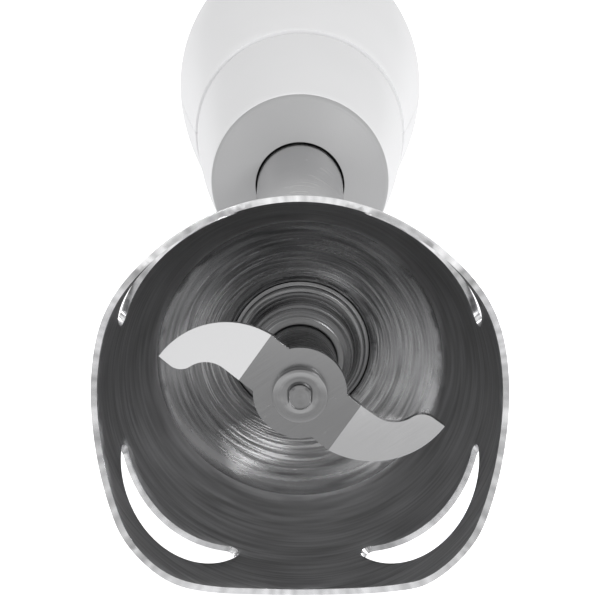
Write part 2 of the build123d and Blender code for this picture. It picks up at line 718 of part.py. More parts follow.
with BuildPart() as dial_board:
    extrude(block(378.2, (27.0, 18.0), (0, DIAL_HEIGHT)), amount=1.4)

with BuildPart() as dial_sensor:
    extrude(ring(379.6, 8.0, height=DIAL_HEIGHT), amount=7)
    extrude(ring(381, SHAFT_RADIUS + RUNNING, height=DIAL_HEIGHT), amount=10, mode=Mode.SUBTRACT)

# ---------------------------------------------------------------- controls

with BuildPart() as button_bezel:
    tight = (BEZEL_SIZE[0] - 0.2, BEZEL_SIZE[1] - 0.2)
    extrude(plan(BEZEL_FLOOR, BEZEL_STATION, tight, 8.9), amount=20)
    revolve(wall(0), axis=DRIVE_AXIS, mode=Mode.INTERSECT)
    for station, size in ((POWER_STATION, POWER_SIZE), (TURBO_STATION, TURBO_SIZE)):
        well = (size[0] + 2 * CLEARANCE, size[1] + 2 * CLEARANCE)
        extrude(plan(BEZEL_FLOOR + 1, station, well, 5.3), amount=20, mode=Mode.SUBTRACT)
        with BuildSketch(level(BEZEL_FLOOR - 1)):
            with Locations((0, station)):
                Circle(2.6)
        extrude(amount=5, mode=Mode.SUBTRACT)


def button(station, size, stem_end):
    """A hollow button that follows the handle's skin, with a stem down to its switch."""
    with BuildPart() as made:
        extrude(plan(24.6, station, size, 5.0), amount=20)
        revolve(wall(-1.0), axis=DRIVE_AXIS, mode=Mode.INTERSECT)
        extrude(plan(24.0, station, (size[0] - 3, size[1] - 3), 3.5), amount=4.2, mode=Mode.SUBTRACT)
        with BuildSketch(level(stem_end)):
            with Locations((0, station)):
                Circle(2.2)
        extrude(amount=28.5 - stem_end)
    return made.part


with BuildPart() as power_button:
    add(button(POWER_STATION, POWER_SIZE, 21.9))

with BuildPart() as turbo_button:
    add(button(TURBO_STATION, TURBO_SIZE, 21.9))


def button_spring(station):
    """The path of the spring between a bezel well's floor and the inside of its button."""
    foot = (0, FIRST_STATION + station, AXIS_HEIGHT + BEZEL_FLOOR + 1.4)
    return spring_path(foot, (0, 0, 1), 3.4, 6.0)


with BuildPart() as power_spring:
    power_path = button_spring(POWER_STATION)
    sweep(wire_section(power_path, 0.6), path=power_path)

with BuildPart() as turbo_spring:
    turbo_path = button_spring(TURBO_STATION)
    sweep(wire_section(turbo_path, 0.6), path=turbo_path)

with BuildPart() as release_button:
    extrude(plan(-BEYOND, RELEASE_STATION, RELEASE_SIZE, 5.0), amount=BEYOND - 20.5)
    revolve(wall(-0.9), axis=DRIVE_AXIS, mode=Mode.INTERSECT)
    extrude(block(230, (6.8, 7.0), (0, -17.1)), amount=6)
    extrude(block(208, (6.8, 2.4), (0, -14.8)), amount=28)
    extrude(block(208, (5.0, 2.0), (0, -16.4)), amount=3)

with BuildPart() as release_spring:
    release_path = spring_path((0, FIRST_STATION + 241.0, AXIS_HEIGHT - 20.1), (0, 0, 1), 1.9, 5.3)
    sweep(wire_section(release_path, 0.6), path=release_path)

with BuildPart() as speed_dial:
    with BuildSketch(across(CAP_END + 0.4)):
        with Locations((0, DIAL_HEIGHT)):
            Circle(DIAL_RADIUS)
        with Locations(Location((0, DIAL_HEIGHT))):
            with PolarLocations(DIAL_RADIUS + 0.35, 24):
                Circle(0.8, mode=Mode.SUBTRACT)
    extrude(amount=LENGTH - CAP_END - 0.4)
    extrude(ring(382, SHAFT_RADIUS, height=DIAL_HEIGHT), amount=CAP_END - 381)
    with BuildSketch(across(LENGTH)):
        with Locations((0, DIAL_HEIGHT + DIAL_RADIUS - 4)):
            SlotOverall(4.4, 1.2, rotation=90)
    extrude(amount=-0.6, mode=Mode.SUBTRACT)

pieces = {
    "bell_guard": bell_guard,
    "bearing_boss": bearing_boss,
    "boss_gasket": boss_gasket,
    "lower_bush": lower_bush,
    "shaft_seal": shaft_seal,
    "shaft_tube": shaft_tube,
    "upper_bush": upper_bush,
    "nose_plate": nose_plate,
    "tube_gasket": tube_gasket,
    "nose_sleeve": nose_sleeve,
    "coupling_core": coupling_core,
    "blade": blade,
    "blade_collar": blade_collar,
    "blade_hub": blade_hub,
    "thrust_washer": thrust_washer,
    "drive_shaft": drive_shaft,
    "shaft_clip": shaft_clip,
    "driven_coupling": driven_coupling,
    "foot_socket": foot_socket,
    "front_shell": front_shell,
    "rear_shell": rear_shell,
    "joint_seal": joint_seal,
    "rest_pad": rest_pad,
    "housing_screws": housing_screws,
    "top_cap": top_cap,
    "cord_gland": cord_gland,
    "gland_nut": gland_nut,
    "cord_clamp": cord_clamp,
    "lower_bearing": lower_bearing,
    "upper_bearing": upper_bearing,
    "front_bridge": front_bridge,
    "rear_bridge": rear_bridge,
    "stator_core": stator_core,
    "field_coils": field_coils,
    "motor_bolts": motor_bolts,
    "motor_ring_front": motor_ring_front,
    "motor_ring_rear": motor_ring_rear,
    "brush_holders": brush_holders,
    "carbon_brushes": carbon_brushes,
    "brush_springs": brush_springs,
    "motor_shaft": motor_shaft,
    "armature_core": armature_core,
    "armature_winding": armature_winding,
    "commutator": commutator,
    "cooling_fan": cooling_fan,
    "drive_coupling": drive_coupling,
    "circuit_board": circuit_board,
    "capacitor": capacitor,
    "terminal_block": terminal_block,
    "switches": switches,
    "dial_board": dial_board,
    "dial_sensor": dial_sensor,
    "button_bezel": button_bezel,
    "power_button": power_button,
    "turbo_button": turbo_button,
    "power_spring": power_spring,
    "turbo_spring": turbo_spring,
    "release_button": release_button,
    "release_spring": release_spring,
    "speed_dial": speed_dial,
}

for piece_name, piece in pieces.items():
    piece.part.label = piece_name
    export_step(piece.part, f"parts/{piece_name}.step")
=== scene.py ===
import json
import math

import bmesh
import bpy
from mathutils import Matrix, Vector

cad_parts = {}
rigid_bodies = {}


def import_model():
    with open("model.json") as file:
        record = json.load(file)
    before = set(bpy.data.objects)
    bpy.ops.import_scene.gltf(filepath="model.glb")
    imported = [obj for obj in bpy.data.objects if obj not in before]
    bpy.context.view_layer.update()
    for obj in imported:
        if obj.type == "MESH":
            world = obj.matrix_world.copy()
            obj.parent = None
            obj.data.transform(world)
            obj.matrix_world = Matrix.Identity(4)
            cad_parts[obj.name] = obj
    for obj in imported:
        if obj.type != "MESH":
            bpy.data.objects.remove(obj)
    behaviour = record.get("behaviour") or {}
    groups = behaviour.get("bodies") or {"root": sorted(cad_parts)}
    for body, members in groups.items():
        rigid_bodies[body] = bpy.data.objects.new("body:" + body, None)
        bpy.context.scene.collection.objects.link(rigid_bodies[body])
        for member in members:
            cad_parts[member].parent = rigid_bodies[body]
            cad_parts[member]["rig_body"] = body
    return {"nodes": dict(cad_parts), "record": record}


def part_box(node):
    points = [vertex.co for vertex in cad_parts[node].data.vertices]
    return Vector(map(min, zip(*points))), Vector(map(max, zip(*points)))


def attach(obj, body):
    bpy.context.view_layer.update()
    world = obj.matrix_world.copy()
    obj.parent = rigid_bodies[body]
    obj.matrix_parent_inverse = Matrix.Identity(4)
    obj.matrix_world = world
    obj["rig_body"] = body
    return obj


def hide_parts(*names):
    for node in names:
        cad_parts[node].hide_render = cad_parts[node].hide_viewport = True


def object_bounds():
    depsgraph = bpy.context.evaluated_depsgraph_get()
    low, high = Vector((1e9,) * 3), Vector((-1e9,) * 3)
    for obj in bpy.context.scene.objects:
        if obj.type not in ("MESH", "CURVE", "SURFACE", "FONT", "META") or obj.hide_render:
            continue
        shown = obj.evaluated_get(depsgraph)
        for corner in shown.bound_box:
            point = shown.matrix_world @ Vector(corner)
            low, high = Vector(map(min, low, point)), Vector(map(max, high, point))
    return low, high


# Immersion blender lying on a pale studio floor, seen into its working end.
# The drive axis runs along +Y, and a station is a distance along it from the tips of the bell's feet.

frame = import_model()
CAD_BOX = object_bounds()
RECORD = frame["record"]
NODES = frame["nodes"]

MM = 0.001
MICRON = 0.001 * MM
AXIS_HEIGHT = (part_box("shaft_tube")[0].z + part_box("shaft_tube")[1].z) / 2
FIRST_STATION = CAD_BOX[0].y


def station(distance):
    """The Y of a station given in millimetres."""
    return FIRST_STATION + distance * MM


def slot_of(name):
    """The record's material slot of a CAD node."""
    for part in RECORD["subparts"]:
        if part["node"] == name:
            return part["material_slot"]
    raise ValueError(name)


# ---------------------------------------------------------------- camera

CAMERA_PLACE = (0.0, -0.57465, 0.15464)
CAMERA_DIP = math.radians(15.33)
CAMERA_LENS = 150.06
SENSOR_WIDTH = 36.0


def make_camera():
    data = bpy.data.cameras.new("studio_camera")
    data.lens = CAMERA_LENS
    data.sensor_width = SENSOR_WIDTH
    data.clip_start = 0.02
    data.clip_end = 20.0
    camera = bpy.data.objects.new("studio_camera", data)
    camera.location = CAMERA_PLACE
    camera.rotation_euler = (math.pi / 2 - CAMERA_DIP, 0.0, 0.0)
    bpy.context.scene.collection.objects.link(camera)
    bpy.context.scene.camera = camera


make_camera()

# ---------------------------------------------------------------- node helpers


def add_node(tree, kind, inputs=None, **settings):
    """Adds a node. An input is a value, or another node's output to link."""
    made = tree.nodes.new(kind)
    for key, value in settings.items():
        setattr(made, key, value)
    for key, value in (inputs or {}).items():
        if isinstance(value, bpy.types.NodeSocket):
            tree.links.new(value, made.inputs[key])
        else:
            made.inputs[key].default_value = value
    return made


def calculate(tree, operation, first, second=0.0):
    """One arithmetic step, as the output of a Math node."""
    return add_node(tree, "ShaderNodeMath", {0: first, 1: second}, operation=operation).outputs[0]


def spread(tree, value, low, high, from_low=0.0, from_high=1.0):
    """Maps a value from one range to another."""
    settings = {"Value": value, "From Min": from_low, "From Max": from_high, "To Min": low, "To Max": high}
    return add_node(tree, "ShaderNodeMapRange", settings).outputs[0]


def new_group(name, inputs, outputs):
    """A shader node group with named inputs and outputs, and its two end nodes."""
    tree = bpy.data.node_groups.new(name, "ShaderNodeTree")
    for label, kind, value in inputs:
        made = tree.interface.new_socket(label, in_out="INPUT", socket_type=kind)
        if value is not None:
            made.default_value = value
    for label, kind in outputs:
        tree.interface.new_socket(label, in_out="OUTPUT", socket_type=kind)
    return tree, tree.nodes.new("NodeGroupInput"), tree.nodes.new("NodeGroupOutput")


FLOAT = "NodeSocketFloat"
VECTOR = "NodeSocketVector"

# ---------------------------------------------------------------- shared effects


# The finest lines, the lines between them, and the broad bands, as shares of the lines per metre.
LAYER_SHARES = (1.0, 0.5, 0.1)


def make_turned_lines():
    """Fine lines that run round the drive axis, as spinning or turning leaves them."""
    tree, given, result = new_group(
        "turned_lines",
        [("Place", VECTOR, None), ("Lines per metre", FLOAT, 2500.0), ("Arc length", FLOAT, 1.2)],
        [("Lines", FLOAT), ("Broad bands", FLOAT)],
    )
    to_axis = {"Vector": given.outputs["Place"], "Location": (0.0, 0.0, -AXIS_HEIGHT)}
    centre = add_node(tree, "ShaderNodeMapping", to_axis)
    part = add_node(tree, "ShaderNodeSeparateXYZ", {0: centre.outputs[0]})
    x, y, z = part.outputs
    squares = calculate(tree, "ADD", calculate(tree, "MULTIPLY", x, x), calculate(tree, "MULTIPLY", z, z))
    radius = calculate(tree, "SQRT", squares)
    along = calculate(tree, "ADD", radius, y)
    angle = calculate(tree, "ARCTAN2", z, x)
    arc = given.outputs["Arc length"]
    around = calculate(tree, "MULTIPLY", calculate(tree, "COSINE", angle), arc)
    over = calculate(tree, "MULTIPLY", calculate(tree, "SINE", angle), arc)
    density = given.outputs["Lines per metre"]
    layers = []
    for share in LAYER_SHARES:
        depth = calculate(tree, "MULTIPLY", calculate(tree, "MULTIPLY", along, density), share)
        spot = add_node(tree, "ShaderNodeCombineXYZ", {0: depth, 1: around, 2: over})
        noise = add_node(tree, "ShaderNodeTexNoise", {"Vector": spot.outputs[0], "Scale": 1.0, "Detail": 0.5})
        layers.append(noise.outputs[0])
    fine = calculate(tree, "MULTIPLY", calculate(tree, "ADD", layers[0], layers[1]), 0.5)
    tree.links.new(spread(tree, fine, 0.0, 1.0, 0.32, 0.68), result.inputs["Lines"])
    tree.links.new(spread(tree, layers[2], 0.0, 1.0, 0.3, 0.7), result.inputs["Broad bands"])
    return tree


def make_straight_grain():
    """Fine parallel scratches along one direction, as belt grinding leaves them."""
    tree, given, result = new_group(
        "straight_grain",
        [
            ("Place", VECTOR, None), ("Turn", VECTOR, (0.0, 0.0, 0.0)),
            ("Across", FLOAT, 6000.0), ("Along", FLOAT, 120.0),
        ],
        [("Lines", FLOAT)],
    )
    turning = {"Vector": given.outputs["Place"], "Rotation": given.outputs["Turn"]}
    turned = add_node(tree, "ShaderNodeMapping", turning)
    part = add_node(tree, "ShaderNodeSeparateXYZ", {0: turned.outputs[0]})
    spot = add_node(
        tree,
        "ShaderNodeCombineXYZ",
        {
            0: calculate(tree, "MULTIPLY", part.outputs[0], given.outputs["Along"]),
            1: calculate(tree, "MULTIPLY", part.outputs[1], given.outputs["Across"]),
            2: calculate(tree, "MULTIPLY", part.outputs[2], given.outputs["Across"]),
        },
    )
    noise = add_node(tree, "ShaderNodeTexNoise", {"Vector": spot.outputs[0], "Scale": 1.0, "Detail": 2.0})
    tree.links.new(noise.outputs[0], result.inputs["Lines"])
    return tree


def make_fine_grain():
    """A moulded or cast surface: fine grain for the bump, and broad cloudiness for the colour."""
    tree, given, result = new_group(
        "fine_grain",
        [("Place", VECTOR, None), ("Grains per metre", FLOAT, 3500.0), ("Clouds per metre", FLOAT, 60.0)],
        [("Grain", FLOAT), ("Clouds", FLOAT)],
    )
    place = given.outputs["Place"]
    grain_size = given.outputs["Grains per metre"]
    cloud_size = given.outputs["Clouds per metre"]
    grain = add_node(tree, "ShaderNodeTexNoise", {"Vector": place, "Scale": grain_size, "Detail": 2.0})
    clouds = add_node(tree, "ShaderNodeTexNoise", {"Vector": place, "Scale": cloud_size, "Detail": 4.0})
    tree.links.new(grain.outputs[0], result.inputs["Grain"])
    tree.links.new(clouds.outputs[0], result.inputs["Clouds"])
    return tree


SCUFFS_PER_METRE = (900.0, 60.0, 900.0)


def make_handling_marks():
    """Where a surface has been wiped or touched: soft patches and a few long scuffs."""
    tree, given, result = new_group(
        "handling_marks",
        [("Place", VECTOR, None), ("Patches per metre", FLOAT, 45.0), ("Amount", FLOAT, 0.5)],
        [("Marks", FLOAT)],
    )
    place = given.outputs["Place"]
    patches = add_node(
        tree,
        "ShaderNodeTexNoise",
        {"Vector": place, "Scale": given.outputs["Patches per metre"], "Detail": 5.0, "Distortion": 0.8},
    )
    stretched = add_node(tree, "ShaderNodeMapping", {"Vector": place, "Scale": SCUFFS_PER_METRE}).outputs[0]
    scuffs = add_node(tree, "ShaderNodeTexNoise", {"Vector": stretched, "Scale": 1.0, "Detail": 2.0})
    soft = spread(tree, patches.outputs[0], 0.0, 1.0, 0.45, 0.75)
    sharp = spread(tree, scuffs.outputs[0], 0.0, 1.0, 0.66, 0.78)
    both = calculate(tree, "MAXIMUM", soft, sharp)
    tree.links.new(calculate(tree, "MULTIPLY", both, given.outputs["Amount"]), result.inputs["Marks"])
    return tree


TURNED_LINES = make_turned_lines()
STRAIGHT_GRAIN = make_straight_grain()
FINE_GRAIN = make_fine_grain()
HANDLING_MARKS = make_handling_marks()

# ---------------------------------------------------------------- materials


def start_material(name):
    """A node material with its shader, and the object coordinates that its patterns follow."""
    material = bpy.data.materials.new(name)
    material.use_nodes = True
    tree = material.node_tree
    tree.nodes.clear()
    shader = add_node(tree, "ShaderNodeBsdfPrincipled")
    output = add_node(tree, "ShaderNodeOutputMaterial")
    tree.links.new(shader.outputs[0], output.inputs[0])
    place = add_node(tree, "ShaderNodeTexCoord").outputs["Object"]
    return material, tree, shader, place


def use_group(tree, group, inputs):
    """Places a shared effect in a material with its own values."""
    return add_node(tree, "ShaderNodeGroup", inputs, node_tree=group)


# The colour sockets of a Mix node.
MIX_FIRST = 6
MIX_SECOND = 7
MIX_RESULT = 2


def tint(tree, shader, mask, first, second):
    """Varies the base colour between two colours."""
    mix = add_node(tree, "ShaderNodeMix", data_type="RGBA")
    tree.links.new(mask, mix.inputs[0])
    mix.inputs[MIX_FIRST].default_value = (*first, 1.0)
    mix.inputs[MIX_SECOND].default_value = (*second, 1.0)
    tree.links.new(mix.outputs[MIX_RESULT], shader.inputs["Base Color"])


def bump(tree, shader, height, depth):
    """Feeds a height pattern, as deep as a distance in metres, to the shader's normal."""
    made = add_node(tree, "ShaderNodeBump", {"Strength": 1.0, "Distance": depth, "Height": height})
    tree.links.new(made.outputs[0], shader.inputs["Normal"])


def roughen(tree, shader, place, fine, amount, share):
    """Feeds a fine roughness to the shader, with handling marks that are rougher by a share."""
    worn = use_group(tree, HANDLING_MARKS, {"Place": place, "Amount": amount})
    marks = calculate(tree, "MULTIPLY", worn.outputs["Marks"], share)
    tree.links.new(calculate(tree, "ADD", fine, marks), shader.inputs["Roughness"])


TURNED_MARKS = 0.3
BAND_SHARE = 0.08


def turned_metal(name, dark, light, rough, per_metre, depth, arc=4.0, anisotropy=0.7):
    """Metal turned, spun or ground round the drive axis."""
    material, tree, shader, place = start_material(name)
    sizes = {"Place": place, "Lines per metre": per_metre, "Arc length": arc}
    lines = use_group(tree, TURNED_LINES, sizes)
    around = add_node(tree, "ShaderNodeTangent", direction_type="RADIAL", axis="Y")
    tree.links.new(around.outputs[0], shader.inputs["Tangent"])
    shader.inputs["Metallic"].default_value = 1.0
    shader.inputs["Anisotropic"].default_value = anisotropy
    broad = calculate(tree, "MULTIPLY", lines.outputs["Broad bands"], BAND_SHARE)
    narrow = calculate(tree, "MULTIPLY", lines.outputs["Lines"], 1.0 - BAND_SHARE)
    tint(tree, shader, calculate(tree, "ADD", broad, narrow), dark, light)
    roughen(tree, shader, place, spread(tree, lines.outputs["Lines"], *rough), TURNED_MARKS, 0.06)
    bump(tree, shader, lines.outputs["Lines"], depth)
    return material


# The blade's belt grinding: its direction, and its lines per metre across and along.
GRINDING = {"Turn": (0.0, 0.6, 0.0), "Across": 7000.0, "Along": 120.0}
GRINDING_DEPTH = 0.8 * MICRON


def ground_metal(name, dark, light, rough, amount):
    """Metal with straight grinding lines."""
    material, tree, shader, place = start_material(name)
    lines = use_group(tree, STRAIGHT_GRAIN, {"Place": place, **GRINDING})
    shader.inputs["Metallic"].default_value = 1.0
    tint(tree, shader, lines.outputs["Lines"], dark, light)
    roughen(tree, shader, place, spread(tree, lines.outputs["Lines"], *rough, 0.3, 0.7), amount, 0.12)
    bump(tree, shader, lines.outputs["Lines"], GRINDING_DEPTH)
    return material


MOULDED_MARKS = 0.25
COAT_ROUGHNESS = 0.2


def moulded(name, dark, light, rough, grains, depth, coat=0.0):
    """Moulded plastic, rubber or a cast or coated surface."""
    material, tree, shader, place = start_material(name)
    skin = use_group(tree, FINE_GRAIN, {"Place": place, "Grains per metre": grains})
    shader.inputs["Coat Weight"].default_value = coat
    shader.inputs["Coat Roughness"].default_value = COAT_ROUGHNESS
    tint(tree, shader, skin.outputs["Clouds"], dark, light)
    roughen(tree, shader, place, spread(tree, skin.outputs["Clouds"], *rough, 0.3, 0.7), MOULDED_MARKS, 0.1)
    bump(tree, shader, skin.outputs["Grain"], depth)
    return material


def wound_wire(name, dark, light, wires):
    """Enamelled wire laid side by side round the motor."""
    material, tree, shader, place = start_material(name)
    skin = use_group(tree, FINE_GRAIN, {"Place": place, "Grains per metre": 900.0})
    winding = {"Vector": place, "Scale": wires, "Distortion": 1.5, "Detail": 1.0}
    wave = add_node(tree, "ShaderNodeTexWave", winding, bands_direction="Y")
    shader.inputs["Metallic"].default_value = 0.7
    shader.inputs["Coat Weight"].default_value = 0.5
    tint(tree, shader, wave.outputs["Fac"], dark, light)
    tree.links.new(spread(tree, skin.outputs["Grain"], 0.3, 0.5), shader.inputs["Roughness"])
    bump(tree, shader, wave.outputs["Fac"], 200 * MICRON)
    return material


def grey(level):
    """A neutral colour."""
    return (level, level, level * 1.01)


# Each finish: its name, dark and light colour, and least and greatest roughness. A turned metal ends with its
# lines per metre and their depth, a ground metal with its handling marks, and a moulding with its grains per
# metre, their depth and a coat.
def make_materials():
    """A finish for each of the record's material slots, and a few for single surfaces."""
    return {
        "stainless": turned_metal(
            "spun_stainless", grey(0.25), grey(0.56), (0.18, 0.3), 7600.0, 20 * MICRON, arc=2.0
        ),
        # The bell's inner wall: satin steel painted lighter than the spun steel, as light that reaches into
        # the bell.
        "satin_stainless_painted_light": turned_metal(
            "satin_stainless_painted_light", grey(0.42), grey(0.66), (0.32, 0.42), 4200.0, 10 * MICRON, arc=2.8
        ),
        # Polished edges, painted brighter than the steel as a highlight along rims, slots and bevels.
        "polished_edge_painted_glint": turned_metal(
            "polished_edge_painted_glint", grey(0.5), grey(0.84), (0.12, 0.24), 300.0, 2 * MICRON, arc=24.0, anisotropy=0.0
        ),
        "stainless_tube": turned_metal(
            "drawn_tube", grey(0.5), grey(0.56), (0.2, 0.27), 3600.0, 3 * MICRON, arc=0.8
        ),
        "blade_steel": ground_metal(
            "ground_blade", grey(0.6), grey(0.63), (0.12, 0.16), 0.4
        ),
        # The blade's plate between the folds: the same steel as the wings, painted darker as shade.
        "plate_steel_painted_shade": ground_metal(
            "blanked_plate_painted_shade", grey(0.28), grey(0.31), (0.2, 0.26), 0.3
        ),
        # Turned steel painted dark as shade: its low tone makes the boss and hub deep in the bell look
        # shaded; its turned lines are real.
        "turned_steel": turned_metal(
            "turned_steel", grey(0.18), grey(0.32), (0.2, 0.32), 4200.0, 8 * MICRON, arc=0.8
        ),
        # Faced steel painted dark as shade, so the collar and shaft end facing out of the bell look shaded.
        "faced_steel_painted_shade": turned_metal(
            "faced_steel_painted_shade", grey(0.28), grey(0.32), (0.16, 0.2), 6000.0, 0.3 * MICRON, arc=0.5
        ),
        "screw_steel": turned_metal(
            "zinc_screws", (0.5, 0.5, 0.46), (0.62, 0.62, 0.6), (0.3, 0.45), 3000.0, 10 * MICRON
        ),
        "spring_steel": moulded(
            "spring_wire", grey(0.38), grey(0.52), (0.25, 0.4), 5000.0, 10 * MICRON
        ),
        "lamination_steel": turned_metal(
            "laminations", grey(0.2), grey(0.34), (0.4, 0.55), 2000.0, 100 * MICRON
        ),
        "motor_alloy": moulded(
            "die_cast_alloy", grey(0.4), grey(0.5), (0.45, 0.6), 1800.0, 80 * MICRON
        ),
        "bronze": turned_metal(
            "sintered_bronze", (0.38, 0.22, 0.1), (0.52, 0.32, 0.16), (0.4, 0.55), 2500.0, 20 * MICRON
        ),
        "brass": turned_metal(
            "turned_brass", (0.6, 0.42, 0.16), (0.75, 0.55, 0.25), (0.2, 0.35), 3500.0, 10 * MICRON
        ),
        "copper": wound_wire(
            "copper_winding", (0.42, 0.14, 0.05), (0.75, 0.32, 0.15), 1100.0
        ),
        "carbon": moulded(
            "pressed_carbon", grey(0.02), grey(0.04), (0.45, 0.6), 2500.0, 40 * MICRON
        ),
        "white_plastic": moulded(
            "white_moulding", grey(0.80), grey(0.84), (0.34, 0.42), 3800.0, 12 * MICRON, 0.15
        ),
        # The nose sleeve's white moulding, painted a little darker as shade on its down-facing sides.
        "sleeve_plastic_painted_shade": moulded(
            "sleeve_moulding_painted_shade", grey(0.76), grey(0.8), (0.34, 0.42), 3800.0, 12 * MICRON, 0.15
        ),
        # Grey moulding. On the nose plate its grey is painted shade, standing in for white plastic in shade;
        # on the other grey parts it is their own colour.
        "grey_plastic": moulded(
            "grey_moulding_and_nose_shade", grey(0.35), grey(0.38), (0.4, 0.5), 3600.0, 20 * MICRON
        ),
        "dark_plastic": moulded(
            "dark_moulding", grey(0.03), grey(0.05), (0.4, 0.52), 3200.0, 30 * MICRON
        ),
        "grey_rubber": moulded(
            "grey_rubber", grey(0.2), grey(0.25), (0.62, 0.75), 2600.0, 60 * MICRON
        ),
        "black_rubber": moulded(
            "black_rubber", grey(0.012), grey(0.02), (0.6, 0.75), 2600.0, 60 * MICRON
        ),
        "board_green": moulded(
            "board_lacquer", (0.02, 0.13, 0.05), (0.03, 0.18, 0.07), (0.25, 0.4), 900.0, 30 * MICRON, 0.4
        ),
        "capacitor_case": moulded(
            "capacitor_case", (0.3, 0.2, 0.05), (0.4, 0.28, 0.08), (0.3, 0.4), 2500.0, 20 * MICRON, 0.2
        ),
    }


MATERIALS = make_materials()


def dress_cad_nodes():
    """Gives every carried-over CAD node the finish of its slot."""
    for name, obj in NODES.items():
        obj.data.materials.clear()
        obj.data.materials.append(MATERIALS[slot_of(name)])


dress_cad_nodes()

# ---------------------------------------------------------------- finished copies of CAD nodes


def merged_copy(name, new_name):
    """A CAD node's mesh as a new object, its loose triangles joined."""
    shape = bmesh.new()
    shape.from_mesh(NODES[name].data)
    bmesh.ops.remove_doubles(shape, verts=shape.verts, dist=0.002 * MM)
    mesh = bpy.data.meshes.new(new_name)
    shape.to_mesh(mesh)
    shape.free()
    mesh.materials.clear()
    mesh.materials.append(MATERIALS[slot_of(name)])
    obj = bpy.data.objects.new(new_name, mesh)
    bpy.context.scene.collection.objects.link(obj)
    return obj


def apply_modifiers(obj):
    """Turns the evaluated shape into the object's own plain mesh."""
    graph = bpy.context.evaluated_depsgraph_get()
    mesh = bpy.data.meshes.new_from_object(obj.evaluated_get(graph), depsgraph=graph)
    obj.modifiers.clear()
    obj.data = mesh


def body_of_node(name):
    """The body that a CAD node rides on."""
    return NODES[name]["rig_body"]


def stands_for(obj, name):
    """Puts a piece in a CAD node's place."""
    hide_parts(name)
    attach(obj, body_of_node(name))


def round_edges(obj, width, angle, crease, segments=2, finish=-1):
    """Rounds a copy's edges where they turn by more than an angle, and shades it smooth up to a crease."""
    bevel = obj.modifiers.new("edges", "BEVEL")
    bevel.width = width * MM
    bevel.segments = segments
    bevel.limit_method = "ANGLE"
    bevel.angle_limit = math.radians(angle)
    bevel.material = finish
    obj.data.shade_smooth()
    apply_modifiers(obj)
    obj.data.set_sharp_from_angle(angle=math.radians(crease))


def softened(name, width, angle, finish=None):
    """A copy with rounded edges, in its slot's finish or another."""
    obj = merged_copy(name, name + "_finished")
    if finish:
        obj.data.materials[0] = MATERIALS[finish]
    round_edges(obj, width, angle, angle)
    return obj


# The bell's slots and lobes end at the first of these stations, and its wall's inside at the second.
CUT_STATION = 25
SHOULDER_STATION = 31
CUT_FACE = 1
INNER_WALL = 2


def finish_bell_guard():
    """The bell guard: rim and slot walls polished and painted bright as a highlight, the inside of its wall
    satin and painted lighter as light, the rest spun.
    """
    obj = merged_copy("bell_guard", "bell_guard_finished")
    # Rim and slot walls: polished steel painted bright as a highlight.
    obj.data.materials.append(MATERIALS["polished_edge_painted_glint"])
    # Inside of the wall: satin steel painted lighter, as light.
    obj.data.materials.append(MATERIALS["satin_stainless_painted_light"])
    for face in obj.data.polygons:
        outwards = Vector((face.center.x, 0.0, face.center.z - AXIS_HEIGHT)).normalized()
        facing = face.normal.dot(outwards)
        if face.center.y < station(CUT_STATION) and abs(facing) < 0.6:
            face.material_index = CUT_FACE
        elif face.center.y < station(SHOULDER_STATION) and facing < -0.8:
            face.material_index = INNER_WALL
    round_edges(obj, 0.15, 50.0, 20.0, finish=CUT_FACE)
    stands_for(obj, "bell_guard")


# The boss in the middle of the bell's ceiling: (radius, station) in millimetres, from its bore outwards.
BOSS_PROFILE = (
    (6.6, 36.5), (6.6, 31.1), (6.75, 30.85), (7.1, 30.85), (7.45, 31.1), (8.0, 31.6), (8.6, 32.1),
    (8.75, 32.4), (8.7, 32.65), (8.45, 32.8), (8.4, 33.0), (8.5, 33.2), (8.85, 33.3), (9.05, 33.55),
    (9.2, 34.3), (9.3, 35.2), (9.45, 35.7), (9.65, 35.85), (9.8, 35.75), (10.1, 35.7), (10.35, 35.9),
    (10.35, 36.3), (10.15, 36.6), (10.3, 36.9), (10.7, 36.95), (11.0, 37.1), (11.15, 37.4), (11.2, 37.8),
    (11.75, 38.0), (11.8, 38.4), (11.2, 39.0), (8.38, 39.0), (8.38, 52.0), (5.0, 52.0), (5.0, 36.5),
)
# The rubber lip that closes the gap between the boss and the blade's hub.
SEAL_LIP_PROFILE = (
    (6.32, 31.6), (6.32, 30.75), (6.4, 30.6), (6.6, 30.55), (6.95, 30.6), (7.2, 30.75), (7.3, 30.95),
    (7.1, 31.0), (6.7, 31.05), (6.5, 31.6),
)
TURNED_STEPS = 160
TURNED_CREASE = 48.0


def turned_piece(name, profile, finish):
    """A closed profile turned round the drive axis."""
    shape = bmesh.new()
    rings = []
    for step in range(TURNED_STEPS):
        angle = 2 * math.pi * step / TURNED_STEPS
        across, up = math.cos(angle), math.sin(angle)
        rings.append([
            shape.verts.new((radius * MM * across, station(distance), AXIS_HEIGHT + radius * MM * up))
            for radius, distance in profile
        ])
    for step in range(TURNED_STEPS):
        here, there = rings[step], rings[(step + 1) % TURNED_STEPS]
        for index in range(len(profile)):
            following = (index + 1) % len(profile)
            shape.faces.new((here[index], here[following], there[following], there[index]))
    bmesh.ops.recalc_face_normals(shape, faces=shape.faces)
    mesh = bpy.data.meshes.new(name)
    shape.to_mesh(mesh)
    shape.free()
    mesh.materials.append(MATERIALS[finish])
    mesh.shade_smooth()
    mesh.set_sharp_from_angle(angle=math.radians(TURNED_CREASE))
    obj = bpy.data.objects.new(name, mesh)
    bpy.context.scene.collection.objects.link(obj)
    return obj


# The boss takes the turned steel, whose dark tone is painted shade.
stands_for(turned_piece("bearing_boss_finished", BOSS_PROFILE, "turned_steel"), "bearing_boss")
seal_lip = turned_piece("seal_lip", SEAL_LIP_PROFILE, "grey_rubber")
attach(seal_lip, "foot")
finish_bell_guard()

